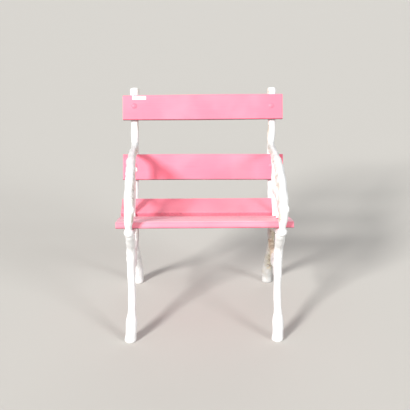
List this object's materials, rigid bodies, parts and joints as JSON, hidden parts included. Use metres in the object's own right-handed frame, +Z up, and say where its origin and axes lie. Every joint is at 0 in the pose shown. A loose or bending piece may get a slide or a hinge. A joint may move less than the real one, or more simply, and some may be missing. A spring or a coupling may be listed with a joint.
{
  "type": "cast iron garden armchair",
  "caption": "Outdoor armchair: timber seat and back boards bolted to cast iron end frames in a rustic branch pattern.",
  "frame": {"origin": "on the ground, at the centre of the chair's footprint box", "axes": "+X to the viewer's right when the seat is seen from the front, -Y the way a sitter faces, +Z up"},
  "size_m": [0.6, 0.5913, 0.7773],
  "materials": {
    "painted_casting": "white gloss paint, brown grime on the rear legs",
    "painted_timber": "pink satin paint",
    "painted_bolt": "pink satin paint",
    "galvanised_hardware": "dull galvanised"
  },
  "bodies": {
    "root": {"left_end_frame": "painted_casting", "right_end_frame": "painted_casting", "front_seat_board": "painted_timber", "middle_seat_board": "painted_timber", "rear_seat_board": "painted_timber", "lower_back_board": "painted_timber", "top_back_board": "painted_timber", "bolt_front_seat_left": "painted_bolt", "bolt_front_seat_right": "painted_bolt", "bolt_middle_seat_left": "painted_bolt", "bolt_middle_seat_right": "painted_bolt", "bolt_rear_seat_left": "painted_bolt", "bolt_rear_seat_right": "painted_bolt", "bolt_lower_back_left": "painted_bolt", "bolt_lower_back_right": "painted_bolt", "bolt_top_back_left": "painted_bolt", "bolt_top_back_right": "painted_bolt", "washer_front_seat_left": "galvanised_hardware", "washer_front_seat_right": "galvanised_hardware", "washer_middle_seat_left": "galvanised_hardware", "washer_middle_seat_right": "galvanised_hardware", "washer_rear_seat_left": "galvanised_hardware", "washer_rear_seat_right": "galvanised_hardware", "washer_lower_back_left": "galvanised_hardware", "washer_lower_back_right": "galvanised_hardware", "washer_top_back_left": "galvanised_hardware", "washer_top_back_right": "galvanised_hardware", "nut_front_seat_left": "galvanised_hardware", "nut_front_seat_right": "galvanised_hardware", "nut_middle_seat_left": "galvanised_hardware", "nut_middle_seat_right": "galvanised_hardware", "nut_rear_seat_left": "galvanised_hardware", "nut_rear_seat_right": "galvanised_hardware", "nut_lower_back_left": "galvanised_hardware", "nut_lower_back_right": "galvanised_hardware", "nut_top_back_left": "galvanised_hardware", "nut_top_back_right": "galvanised_hardware"}
  },
  "joints": []
}
